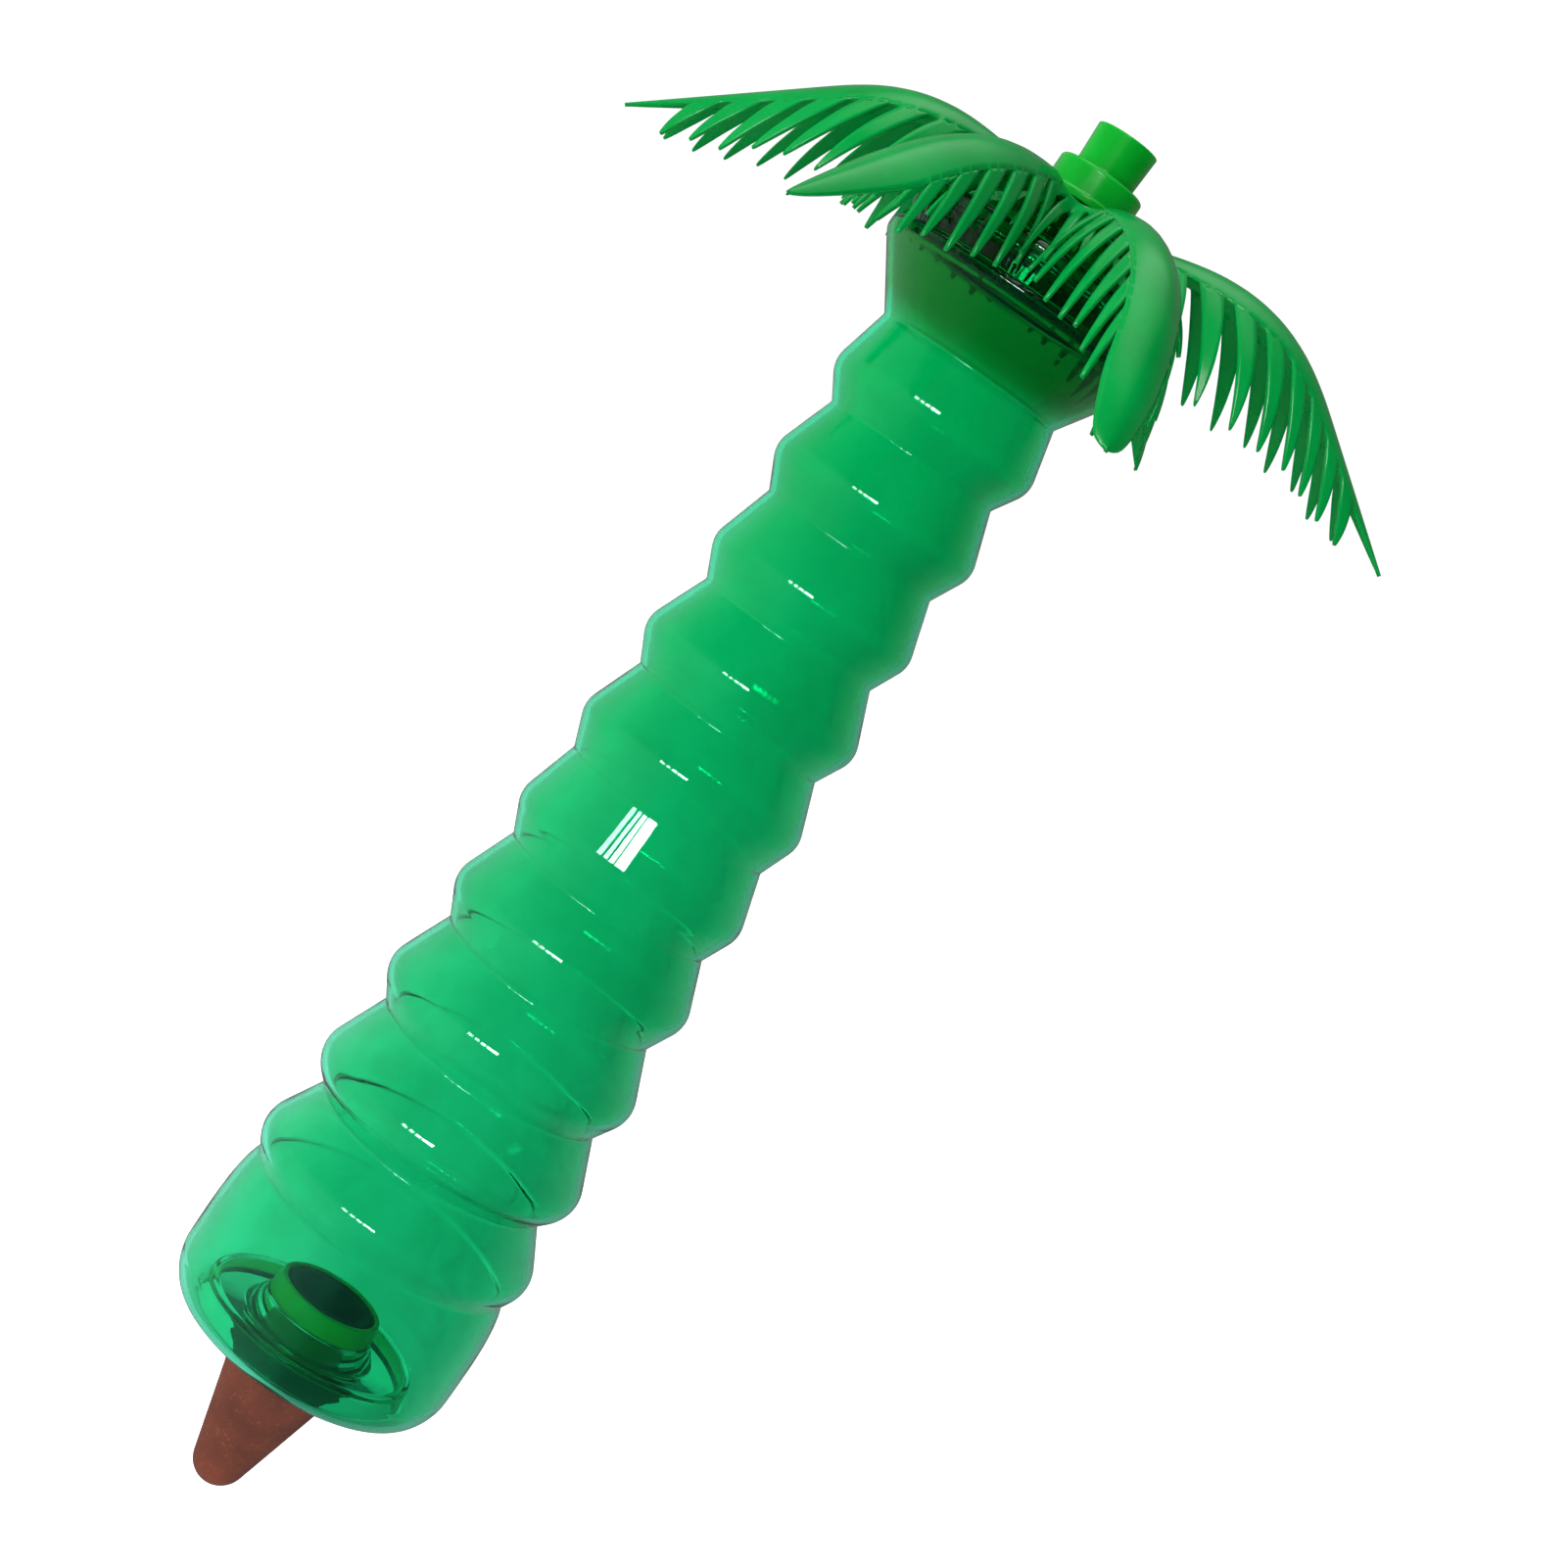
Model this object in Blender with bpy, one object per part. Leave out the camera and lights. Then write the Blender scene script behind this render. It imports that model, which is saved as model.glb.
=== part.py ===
"""Palm-tree plant-watering bottle with a clay watering cone.

Metres, +Z up along the trunk's axis, origin at the tip of the clay cone. Lengths
in the constants below are millimetres and angles are degrees.
"""
import bpy
import bmesh
from math import cos, pi, radians, sin
from mathutils import Vector

MM = 0.001
ROUND_STEPS = 32

# Trunk bottle
WALL = 1.5
WAIST_Z = 328.0
FIRST_SEGMENT = 23.6
SEGMENT_PITCH = 25.4
LAST_SEGMENT = 21.9
SEGMENT_COUNT = 10
FOOT_JOINT_RADIUS = 35.1
# one value per groove, from the waist down to the foot joint
VALLEY_RADII = (24.1, 22.7, 23.05, 23.5, 25.2, 26.95, 27.3, 28.5, 30.0, 30.7, FOOT_JOINT_RADIUS)
# one value per segment: widest radius, and how far down the segment it is
PEAK_RADII = (27.3, 27.3, 27.35, 29.2, 30.3, 31.1, 32.6, 34.4, 36.3, 37.7)
PEAK_SHARES = (0.60, 0.60, 0.615, 0.625, 0.61, 0.61, 0.61, 0.635, 0.67, 0.70)
PEAK_EASE = 4.0
FOOT_RADIUS = 37.7
FOOT_REST_Z = 40.6
FOOT_REST_OUTER = 30.2
FOOT_REST_INNER = 28.4
FOOT_CORNER_Z = 52.0
RECESS_RADIUS = 27.2
RECESS_Z = 47.6
COLLAR_RADIUS = 17.3
COLLAR_Z = 44.0
COLLAR_BORE = 13.8
BOSS_TOP_Z = 51.2
CUP_RADIUS = 35.2
CUP_CORNER_Z = 345.6
SHOULDER_Z = 348.7
NECK_RADIUS = 30.8
NECK_BORE = 29.5
NECK_TOP_Z = 356.3

# Thread between neck and lid
THREAD_PITCH = 3.0
THREAD_TURNS = 1.1
NECK_THREAD_Z = 351.2
NECK_THREAD_CREST = 31.6
LID_THREAD_Z = 352.7
LID_THREAD_CREST = 31.1
THREAD_BASE = 1.5
THREAD_TIP = 0.7

# Lid and its gasket
LID_RADIUS = 33.5
LID_BORE = 32.0
LID_EDGE_Z = 349.2
LID_SEAT_Z = 358.0
LID_TOP_Z = 359.5
LID_BOSS_RADIUS = 11.8
LID_LEDGE_Z = 371.5
FILLER_RADIUS = 8.5
FILLER_BORE = 6.4
FILLER_TOP_Z = 379.0
GASKET_INNER = 27.3
GASKET_OUTER = 31.7
GASKET_Z = 356.6
GASKET_THICKNESS = 1.1

# Filler cap
CAP_BEAD_RADIUS = 11.6
CAP_RADIUS = 11.1
CAP_BOTTOM_Z = 373.4
CAP_TOP_Z = 382.0
CAP_BORE = 8.9
PLUG_RADIUS = 6.0
PLUG_BORE = 4.8
PLUG_Z = 375.5
GRIP_FOOT_RADIUS = 7.6
GRIP_TOP_RADIUS = 8.05
GRIP_TOP_Z = 392.2

# Clay cone and its rubber seal
TIP_RADIUS = 7.1
CONE_SLOPE = 0.262
FLANGE_RADIUS = 16.7
FLANGE_BOTTOM_Z = 34.2
FLANGE_TOP_Z = 42.5
CLAY_NECK_RADIUS = 12.2
CLAY_BORE = 9.6
CLAY_TOP_Z = 56.6
SEAL_BORE = 12.5
SEAL_WAIST = 13.5
SEAL_BEAD = 14.4
SEAL_FLANGE = 16.5
SEAL_TOP_Z = 56.8

# Frond crown: one row per frond, since each has set a little differently
FRONDS = (
    # azimuth, rise at the root, arc length of the bend, slope of the tip, arc length
    (0.0, 18.0, 63.0, 37.0, 99.0),
    (60.0, 6.0, 60.0, 38.0, 96.0),
    (120.0, 8.0, 80.0, 30.0, 96.0),
    (180.0, 8.0, 50.7, 39.0, 96.4),
    (240.6, -4.0, 65.6, 39.3, 96.9),
    (289.6, 0.3, 102.4, 69.8, 98.4),
)
SHEET = 1.05
HUB_BORE = 8.9
HUB_RADIUS = 12.0
HUB_Z = 373.1
SHEET_RADIUS = 19.0
RIDGE_MID_Z = 374.5
RIDGE_EDGE_Z = 375.4
VALLEY_MID_Z = 371.6
VALLEY_EDGE_Z = 368.9
ROOF_POWER = 1.2
BLADE_SHARE = 0.30
CURTAINS = ((0.37, 0.64), (0.70, 0.97))
CURTAIN_LENGTH = 25.0
CURTAIN_HANG = 62.0
BLADE_ROOF = 33.0
BLADE_WIDEST = 8.2
BLADE_WIDEST_AT = 26.0
LEAFLETS = 8
LEAFLET_START = 2.5
LEAFLET_END = 83.0
LEAFLET_SHARE = 0.82
LEAFLET_LONGEST = 36.0
LEAFLET_SHORTEST = 15.0
LEAFLET_ROWS = 4
LEAFLET_HANG = 72.0

MATERIALS = {
    "bottle_green": ((0.01, 0.45, 0.16, 0.45), 0.08),
    "lid_green": ((0.01, 0.28, 0.06, 0.8), 0.15),
    "gasket_white": ((0.80, 0.82, 0.78, 1.0), 0.6),
    "frond_green": ((0.01, 0.36, 0.09, 1.0), 0.25),
    "cap_green": ((0.01, 0.32, 0.03, 1.0), 0.3),
    "terracotta": ((0.22, 0.06, 0.03, 1.0), 0.85),
    "seal_green": ((0.10, 0.42, 0.05, 1.0), 0.5),
}


def material(slot):
    """One plain Principled material per slot."""
    found = bpy.data.materials.get(slot)
    if found:
        return found
    colour, rough = MATERIALS[slot]
    made = bpy.data.materials.new(slot)
    made.use_nodes = True
    shader = made.node_tree.nodes["Principled BSDF"]
    shader.inputs["Base Color"].default_value = colour[:3] + (1.0,)
    shader.inputs["Alpha"].default_value = colour[3]
    shader.inputs["Roughness"].default_value = rough
    made.diffuse_color = colour
    return made


def add_object(name, bm, slot, sharp=40.0):
    """Store the bmesh as a named object, smooth except at sharp edges."""
    mesh = bpy.data.meshes.new(name)
    bmesh.ops.recalc_face_normals(bm, faces=bm.faces)
    bm.to_mesh(mesh)
    bm.free()
    mesh.materials.append(material(slot))
    mesh.shade_smooth()
    mesh.set_sharp_from_angle(angle=radians(sharp))
    made = bpy.data.objects.new(name, mesh)
    bpy.context.scene.collection.objects.link(made)
    return made


def revolve(points, closed=True):
    """Spin a profile of (radius, height) points once round the Z axis."""
    bm = bmesh.new()
    verts = [bm.verts.new((r * MM, 0.0, z * MM)) for r, z in points]
    pairs = list(zip(verts, verts[1:]))
    if closed:
        pairs.append((verts[-1], verts[0]))
    edges = [bm.edges.new(pair) for pair in pairs]
    bmesh.ops.spin(
        bm,
        geom=verts + edges,
        cent=(0.0, 0.0, 0.0),
        axis=(0.0, 0.0, 1.0),
        angle=2.0 * pi,
        steps=ROUND_STEPS,
        use_merge=True,
    )
    bmesh.ops.remove_doubles(bm, verts=bm.verts, dist=1e-7)
    return bm


def thread_ridge(name, root, crest, start_z):
    """Closed helical ridge of trapezoid section from root radius to crest."""
    bm = bmesh.new()
    low, high = start_z - THREAD_BASE / 2, start_z + THREAD_BASE / 2
    tip_low, tip_high = start_z - THREAD_TIP / 2, start_z + THREAD_TIP / 2
    section = ((root, low), (crest, tip_low), (crest, tip_high), (root, high))
    verts = [bm.verts.new((r * MM, 0.0, z * MM)) for r, z in section]
    face = bm.faces.new(verts)
    steps = int(ROUND_STEPS * THREAD_TURNS)
    angle = 2.0 * pi * steps / ROUND_STEPS
    bmesh.ops.spin(
        bm,
        geom=[face] + list(face.edges) + verts,
        cent=(0.0, 0.0, 0.0),
        axis=(0.0, 0.0, 1.0),
        dvec=(0.0, 0.0, THREAD_PITCH * MM / ROUND_STEPS),
        angle=angle,
        steps=steps,
    )
    if not bm.faces.get(verts):
        bm.faces.new(verts)
    bmesh.ops.holes_fill(bm, edges=[e for e in bm.edges if e.is_boundary])
    bmesh.ops.remove_doubles(bm, verts=bm.verts, dist=1e-7)
    ridge = add_object(name, bm, "gasket_white")
    ridge.hide_render = True
    ridge.display_type = "WIRE"
    return ridge


def join(body, tool):
    """Exact union of a helical ridge into its carrier."""
    step = body.modifiers.new("thread", "BOOLEAN")
    step.operation = "UNION"
    step.solver = "EXACT"
    step.object = tool


def valley_heights():
    """Heights of the valleys from the waist down to the foot joint."""
    heights = [WAIST_Z, WAIST_Z - FIRST_SEGMENT]
    while len(heights) < SEGMENT_COUNT:
        heights.append(heights[-1] - SEGMENT_PITCH)
    heights.append(heights[-1] - LAST_SEGMENT)
    return heights


def corner(centre_r, centre_z, half_r, half_z, angles):
    """Points on an elliptical corner, from its side at 0 to its foot at 90."""
    points = []
    for angle in angles:
        a = radians(angle)
        points.append((centre_r + half_r * cos(a), centre_z - half_z * sin(a)))
    return points


def trunk_profile():
    """Section of the one-piece bottle, outside first and back up the inside."""
    heights = valley_heights()
    outside = [
        (NECK_RADIUS, NECK_TOP_Z),
        (NECK_RADIUS, SHOULDER_Z + 0.3),
        (CUP_RADIUS - 1.6, SHOULDER_Z),
        (CUP_RADIUS - 0.4, SHOULDER_Z - 1.1),
        (CUP_RADIUS, SHOULDER_Z - 2.5),
        (CUP_RADIUS, CUP_CORNER_Z),
        (CUP_RADIUS - 0.9, CUP_CORNER_Z - 1.9),
    ]
    inside = [
        (NECK_BORE, NECK_TOP_Z),
        (NECK_BORE, SHOULDER_Z - 0.9),
        (CUP_RADIUS - 2.2, SHOULDER_Z - 1.3),
        (CUP_RADIUS - WALL, SHOULDER_Z - 2.7),
        (CUP_RADIUS - WALL, CUP_CORNER_Z),
        (CUP_RADIUS - WALL - 1.0, CUP_CORNER_Z - 1.9),
    ]
    for i in range(SEGMENT_COUNT):
        peak = PEAK_RADII[i]
        drop = heights[i] - heights[i + 1]
        peak_z = heights[i] - PEAK_SHARES[i] * drop
        outside += [
            (VALLEY_RADII[i], heights[i]),
            (peak - 0.7, peak_z + PEAK_EASE),
            (peak, peak_z),
            (peak - 0.8, peak_z - 0.8 * PEAK_EASE),
        ]
        inside += [
            (VALLEY_RADII[i] - WALL, heights[i]),
            (peak - WALL - 0.1, peak_z),
        ]
    joint_z = heights[-1]
    outside += [
        (FOOT_JOINT_RADIUS, joint_z),
        (FOOT_RADIUS - 1.3, joint_z - 4.0),
        (FOOT_RADIUS - 0.4, joint_z - 9.5),
        (FOOT_RADIUS, joint_z - 17.0),
    ]
    inside += [
        (FOOT_JOINT_RADIUS - WALL, joint_z),
        (FOOT_RADIUS - WALL - 0.6, joint_z - 8.0),
        (FOOT_RADIUS - WALL, joint_z - 17.0),
    ]
    half_r = FOOT_RADIUS - FOOT_REST_OUTER
    half_z = FOOT_CORNER_Z - FOOT_REST_Z
    outside += corner(FOOT_REST_OUTER, FOOT_CORNER_Z, half_r, half_z, (0, 22, 45, 68, 90))
    inside += corner(
        FOOT_REST_OUTER, FOOT_CORNER_Z, half_r - WALL, half_z - WALL, (0, 30, 60, 90)
    )
    outside += [
        (FOOT_REST_INNER, FOOT_REST_Z),
        (RECESS_RADIUS + 0.9, FOOT_REST_Z + 0.5),
        (RECESS_RADIUS, RECESS_Z),
        (COLLAR_RADIUS + 1.2, COLLAR_Z + 1.3),
        (COLLAR_RADIUS, COLLAR_Z + 1.2),
        (COLLAR_RADIUS, COLLAR_Z),
        (COLLAR_BORE, COLLAR_Z),
        (COLLAR_BORE, BOSS_TOP_Z),
    ]
    inside += [
        (RECESS_RADIUS + 2.0, FOOT_REST_Z + 2.0),
        (RECESS_RADIUS + 1.1, RECESS_Z + 1.2),
        (COLLAR_RADIUS + 0.5, COLLAR_Z + 2.7),
        (COLLAR_BORE + 1.4, BOSS_TOP_Z - 0.6),
        (COLLAR_BORE + 1.0, BOSS_TOP_Z),
    ]
    return outside + inside[::-1]


def build_bottle():
    bottle = add_object("trunk_bottle", revolve(trunk_profile()), "bottle_green", 60.0)
    ridge = thread_ridge("neck_thread_tool", NECK_RADIUS - 0.5, NECK_THREAD_CREST, NECK_THREAD_Z)
    join(bottle, ridge)


def build_lid():
    points = [
        (LID_RADIUS, LID_EDGE_Z),
        (LID_RADIUS, LID_TOP_Z - 3.7),
        (LID_RADIUS - 1.1, LID_TOP_Z - 1.0),
        (LID_RADIUS - 3.5, LID_TOP_Z),
        (21.0, 361.9),
        (14.5, 365.3),
        (LID_BOSS_RADIUS, 369.5),
        (LID_BOSS_RADIUS, LID_LEDGE_Z),
        (FILLER_RADIUS, LID_LEDGE_Z),
        (FILLER_RADIUS, FILLER_TOP_Z),
        (FILLER_BORE, FILLER_TOP_Z),
        (FILLER_BORE, LID_LEDGE_Z - 1.5),
        (LID_BOSS_RADIUS - 1.4, LID_LEDGE_Z - 1.5),
        (LID_BOSS_RADIUS - 1.4, 369.0),
        (13.4, 364.2),
        (20.3, 360.6),
        (26.5, 359.0),
        (27.0, LID_SEAT_Z),
        (LID_BORE, LID_SEAT_Z),
        (LID_BORE, LID_EDGE_Z),
    ]
    lid = add_object("screw_lid", revolve(points), "lid_green")
    ridge = thread_ridge("lid_thread_tool", LID_BORE + 0.5, LID_THREAD_CREST, LID_THREAD_Z)
    join(lid, ridge)


def build_gasket():
    low, high = GASKET_Z, GASKET_Z + GASKET_THICKNESS
    points = [
        (GASKET_OUTER, low),
        (GASKET_OUTER, high),
        (GASKET_INNER, high),
        (GASKET_INNER, low),
    ]
    add_object("lid_gasket", revolve(points), "gasket_white")


def build_cap():
    points = [
        (CAP_BEAD_RADIUS, CAP_BOTTOM_Z),
        (CAP_BEAD_RADIUS, CAP_BOTTOM_Z + 1.6),
        (CAP_RADIUS, CAP_BOTTOM_Z + 2.2),
        (CAP_RADIUS, CAP_TOP_Z - 1.0),
        (CAP_RADIUS - 1.0, CAP_TOP_Z),
        (GRIP_FOOT_RADIUS, CAP_TOP_Z + 0.2),
        (GRIP_TOP_RADIUS, GRIP_TOP_Z - 0.3),
        (GRIP_TOP_RADIUS - 0.3, GRIP_TOP_Z),
        (GRIP_TOP_RADIUS - 1.5, GRIP_TOP_Z),
        (GRIP_FOOT_RADIUS - 1.4, CAP_TOP_Z + 1.2),
        (0.0, CAP_TOP_Z + 1.2),
    ]
    bore = [
        (0.0, CAP_TOP_Z - 1.6),
        (PLUG_BORE, CAP_TOP_Z - 1.6),
        (PLUG_BORE, PLUG_Z),
        (PLUG_RADIUS, PLUG_Z),
        (PLUG_RADIUS, CAP_TOP_Z - 1.6),
        (CAP_BORE, CAP_TOP_Z - 1.6),
        (CAP_BORE, CAP_BOTTOM_Z),
    ]
    profile = points[::-1] + bore[::-1]
    add_object("filler_cap", revolve(profile, closed=False), "cap_green")


def build_cone():
    ball = TIP_RADIUS
    wall_z = ball * (1.0 - 0.2536)
    wall_r = ball * 0.967
    cone_r = wall_r + CONE_SLOPE * (FLANGE_BOTTOM_Z - wall_z)
    outside = [
        (0.0, 0.0),
        (ball * 0.5, ball * 0.134),
        (ball * 0.82, ball * 0.428),
        (wall_r, wall_z),
        (cone_r, FLANGE_BOTTOM_Z),
        (FLANGE_RADIUS - 0.7, FLANGE_BOTTOM_Z + 1.8),
        (FLANGE_RADIUS, FLANGE_BOTTOM_Z + 4.3),
        (FLANGE_RADIUS, FLANGE_TOP_Z),
        (CLAY_NECK_RADIUS, FLANGE_TOP_Z),
        (CLAY_NECK_RADIUS, CLAY_TOP_Z - 0.5),
        (CLAY_NECK_RADIUS - 0.5, CLAY_TOP_Z),
        (CLAY_BORE + 0.3, CLAY_TOP_Z),
        (CLAY_BORE, CLAY_TOP_Z - 0.3),
        (CLAY_BORE, 27.0),
        (5.2, 10.0),
        (3.4, 6.4),
        (0.0, 5.2),
    ]
    add_object("clay_cone", revolve(outside, closed=False), "terracotta")


def build_seal():
    points = [
        (SEAL_FLANGE, FLANGE_TOP_Z + 0.3),
        (SEAL_FLANGE, COLLAR_Z - 0.3),
        (SEAL_WAIST, COLLAR_Z - 0.3),
        (SEAL_WAIST, BOSS_TOP_Z + 0.3),
        (SEAL_BEAD, BOSS_TOP_Z + 0.3),
        (SEAL_BEAD, BOSS_TOP_Z + 1.2),
        (SEAL_BEAD - 0.4, SEAL_TOP_Z - 0.5),
        (SEAL_BEAD - 0.9, SEAL_TOP_Z),
        (SEAL_BORE, SEAL_TOP_Z),
        (SEAL_BORE, FLANGE_TOP_Z + 0.3),
    ]
    add_object("base_seal", revolve(points), "seal_green")


class Crown:
    """One moulded sheet: hub ring, undulating inner sheet, blades and leaflets."""

    def __init__(self):
        self.bm = bmesh.new()

    def point(self, place):
        return self.bm.verts.new(Vector(place) * MM)

    def quad(self, a, b, c, d):
        corners = []
        for vert in (a, b, c, d):
            if vert not in corners:
                corners.append(vert)
        self.bm.faces.new(corners)

    def sheet_height(self, ring, share):
        """Top of the inner sheet on a ring, from the ridge to the valley."""
        ridge = (HUB_Z, HUB_Z, RIDGE_MID_Z, RIDGE_EDGE_Z)[ring]
        valley = (HUB_Z, HUB_Z, VALLEY_MID_Z, VALLEY_EDGE_Z)[ring]
        return ridge - (ridge - valley) * abs(share) ** ROOF_POWER

    def inner_sheet(self):
        """Rings of vertices round the hub, keyed by frond and column."""
        radii = (HUB_BORE, HUB_RADIUS, (HUB_RADIUS + SHEET_RADIUS) / 2, SHEET_RADIUS)
        half = [0.0, BLADE_SHARE]
        for low, high in CURTAINS:
            half += [low, high]
        shares = [-s for s in half[:0:-1]] + half
        columns = []
        for index, (azimuth, *_) in enumerate(FRONDS):
            before = FRONDS[index - 1][0]
            after = FRONDS[(index + 1) % len(FRONDS)][0]
            to_before = ((azimuth - before) % 360.0) / 2
            to_after = ((after - azimuth) % 360.0) / 2
            for share in shares:
                spread = share * (to_after if share > 0 else to_before)
                columns.append((index, share, azimuth + spread))
        rings = []
        for ring, radius in enumerate(radii):
            row = {}
            for index, share, angle in columns:
                a = radians(angle)
                z = self.sheet_height(ring, share)
                row[index, share] = self.point((radius * cos(a), radius * sin(a), z))
            rings.append(row)
        keys = [(index, share) for index, share, _ in columns]
        for inner, outer in zip(rings, rings[1:]):
            for one, two in zip(keys, keys[1:] + keys[:1]):
                self.quad(inner[one], outer[one], outer[two], inner[two])
        self.angles = {(index, share): angle for index, share, angle in columns}
        return rings[-1]

    def strip(self, left, right, heading, turn, pitch, length, hang):
        """Tapering leaflet from the edge left-right, bending down to hang."""
        middle = (left.co + right.co) / (2 * MM)
        side = (right.co - left.co) / MM
        full = side.length / 2
        for row in range(1, LEAFLET_ROWS + 1):
            s = row / LEAFLET_ROWS
            mid = (row - 0.5) / LEAFLET_ROWS
            down = radians(pitch + (hang - pitch) * mid ** 1.2)
            yaw = radians(heading + turn * mid)
            ahead = Vector((cos(yaw) * cos(down), sin(yaw) * cos(down), -sin(down)))
            middle = middle + ahead * (length / LEAFLET_ROWS)
            across = (side - ahead * side.dot(ahead)).normalized()
            half = full * (1.0 - s ** 1.6) * 0.92 + 0.45
            new_left = self.point(middle - across * half)
            new_right = self.point(middle + across * half)
            self.quad(left, new_left, new_right, right)
            left, right = new_left, new_right

    def curtains(self, rim):
        """Leaflets that hang from the rim between neighbouring fronds."""
        for index in range(len(FRONDS)):
            for low, high in CURTAINS:
                for one, two in ((low, high), (-high, -low)):
                    heading = (self.angles[index, one] + self.angles[index, two]) / 2
                    pitch = 2.0 + 12.0 * (low + high) / 2
                    self.strip(
                        rim[index, one],
                        rim[index, two],
                        heading,
                        0.0,
                        pitch,
                        CURTAIN_LENGTH,
                        CURTAIN_HANG,
                    )

    def ridge_points(self, rise, bend, tip_slope, stations):
        """Ridge line by arc length: radius, height and downward slope."""

        def slope_at(walked):
            part = min(walked / bend, 1.0)
            return -rise + (tip_slope + rise) * part * part * (3.0 - 2.0 * part)

        found = {}
        radius, height, walked = SHEET_RADIUS, RIDGE_EDGE_Z, 0.0
        step = 0.5
        for station in stations:
            while walked < station - 1e-9:
                go = min(step, station - walked)
                slope = radians(slope_at(walked + go / 2))
                radius += go * cos(slope)
                height -= go * sin(slope)
                walked += go
            found[station] = (radius, height, slope_at(station))
        return found

    def half_width(self, station, reach):
        """Half width of the uncut blade at an arc length from the sheet."""
        start = SHEET_RADIUS * sin(radians(30.0 * BLADE_SHARE)) * 1.15
        if station < BLADE_WIDEST_AT:
            part = station / BLADE_WIDEST_AT
            return start + (BLADE_WIDEST - start) * part * (2.0 - part)
        part = (station - BLADE_WIDEST_AT) / (reach - BLADE_WIDEST_AT)
        return BLADE_WIDEST * (1.0 - part) ** 0.9 + 0.4

    def blade(self, index, frond, rim):
        """Roof-shaped blade along one frond, with its leaflets."""
        azimuth, rise, bend, tip_slope, reach = frond
        pitch = (LEAFLET_END - LEAFLET_START) / LEAFLETS
        roots = []
        for leaf in range(LEAFLETS):
            start = LEAFLET_START + leaf * pitch
            roots.append((start, start + LEAFLET_SHARE * pitch))
        stations = [s for root in roots for s in root] + [reach - 7.0, reach]
        ridge = self.ridge_points(rise, bend, tip_slope, stations)
        a = radians(azimuth)
        out = Vector((cos(a), sin(a), 0.0))
        lateral = Vector((-sin(a), cos(a), 0.0))
        roof = radians(BLADE_ROOF)
        last = [rim[index, s] for s in (-BLADE_SHARE, 0.0, BLADE_SHARE)]
        rows = {}
        for station in stations:
            radius, height, slope = ridge[station]
            centre = out * radius + Vector((0.0, 0.0, height))
            tilt = radians(slope)
            under = Vector((0.0, 0.0, -1.0)) * cos(tilt) - out * sin(tilt)
            under = (under + Vector((0.0, 0.0, -1.0))).normalized()
            half = self.half_width(station, reach)
            row = [
                self.point(centre - lateral * half * cos(roof) + under * half * sin(roof)),
                self.point(centre),
                self.point(centre + lateral * half * cos(roof) + under * half * sin(roof)),
            ]
            self.quad(last[0], row[0], row[1], last[1])
            self.quad(last[1], row[1], row[2], last[2])
            rows[station] = row
            last = row
        for leaf, (start, end) in enumerate(roots):
            part = leaf / (LEAFLETS - 1)
            swell = 4.0 * part * (1.0 - part)
            length = LEAFLET_LONGEST - (LEAFLET_LONGEST - LEAFLET_SHORTEST) * part ** 1.6
            length -= 3.0 * (1.0 - part) * (1.0 - swell)
            spread = 52.0 - 26.0 * part
            slope = ridge[start][2]
            pitch = 30.0 + 0.5 * max(slope, 0.0)
            for side, sign in ((0, -1.0), (2, 1.0)):
                one, two = rows[start][side], rows[end][side]
                if sign > 0:
                    one, two = two, one
                self.strip(
                    one,
                    two,
                    azimuth + sign * spread,
                    -sign * 14.0,
                    pitch,
                    length,
                    LEAFLET_HANG,
                )

    def build(self):
        rim = self.inner_sheet()
        self.curtains(rim)
        for index, frond in enumerate(FRONDS):
            self.blade(index, frond, rim)
        crown = add_object("frond_crown", self.bm, "frond_green", 35.0)
        shell = crown.modifiers.new("sheet", "SOLIDIFY")
        shell.thickness = SHEET * MM
        shell.offset = -1.0
        shell.use_even_offset = False
        shell.use_rim = True


def main():
    for stale in list(bpy.data.objects):
        bpy.data.objects.remove(stale, do_unlink=True)
    build_bottle()
    build_seal()
    build_cone()
    build_gasket()
    build_lid()
    Crown().build()
    build_cap()


main()
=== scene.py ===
"""Looks of the palm-tree watering bottle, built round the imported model.

Lengths in the tables are millimetres, Z up from the tip of the clay cone.
"""
from math import ceil, cos, pi, radians, sin, tan

import bmesh
import bpy
from mathutils import Euler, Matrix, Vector


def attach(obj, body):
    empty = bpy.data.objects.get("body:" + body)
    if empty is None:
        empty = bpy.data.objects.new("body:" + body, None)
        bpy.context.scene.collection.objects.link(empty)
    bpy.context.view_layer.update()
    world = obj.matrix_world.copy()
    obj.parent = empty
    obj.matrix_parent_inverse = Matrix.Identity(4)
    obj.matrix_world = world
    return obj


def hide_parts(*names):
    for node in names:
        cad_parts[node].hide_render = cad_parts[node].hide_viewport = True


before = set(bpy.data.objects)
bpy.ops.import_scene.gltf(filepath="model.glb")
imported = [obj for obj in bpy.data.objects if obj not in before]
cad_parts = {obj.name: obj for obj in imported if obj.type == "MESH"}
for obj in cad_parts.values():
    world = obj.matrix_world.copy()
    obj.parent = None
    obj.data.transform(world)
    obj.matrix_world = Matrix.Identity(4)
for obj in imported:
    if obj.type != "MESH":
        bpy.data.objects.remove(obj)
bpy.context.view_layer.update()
MM = 0.001


# ---------------------------------------------------------------- outlines


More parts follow.
